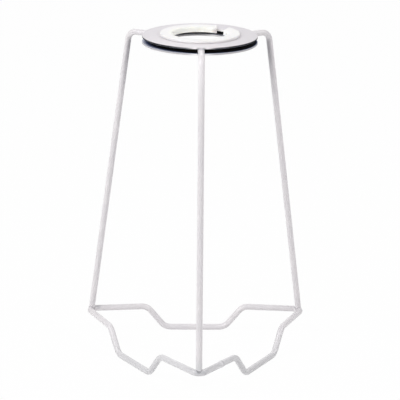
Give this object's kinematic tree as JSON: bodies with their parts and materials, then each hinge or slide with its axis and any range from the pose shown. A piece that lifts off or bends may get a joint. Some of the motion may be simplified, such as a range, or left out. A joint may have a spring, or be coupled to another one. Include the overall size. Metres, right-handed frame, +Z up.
{
  "type": "lampshade carrier",
  "caption": "Wire lampshade carrier: two flat discs with a split reducer ring on top, bent legs splaying to a kinked closed base wire.",
  "frame": {"origin": "on the lampholder's axis, level with the upper disc's top face", "axes": "+Z up along the lampholder's axis, out of the top of the carrier; the front leg points to -Y"},
  "size_m": [0.1204, 0.1096, 0.1799],
  "materials": {
    "coated_sheet": "white powder coat on steel sheet, satin",
    "coated_wire": "white powder coat on steel wire, satin",
    "ring_plastic": "warm white moulded plastic, soft sheen"
  },
  "bodies": {
    "root": {"upper_disc": "coated_sheet", "lower_disc": "coated_sheet", "leg_front": "coated_wire", "leg_left": "coated_wire", "leg_right": "coated_wire", "base_wire": "coated_wire", "reducer_ring": "ring_plastic"}
  },
  "joints": []
}
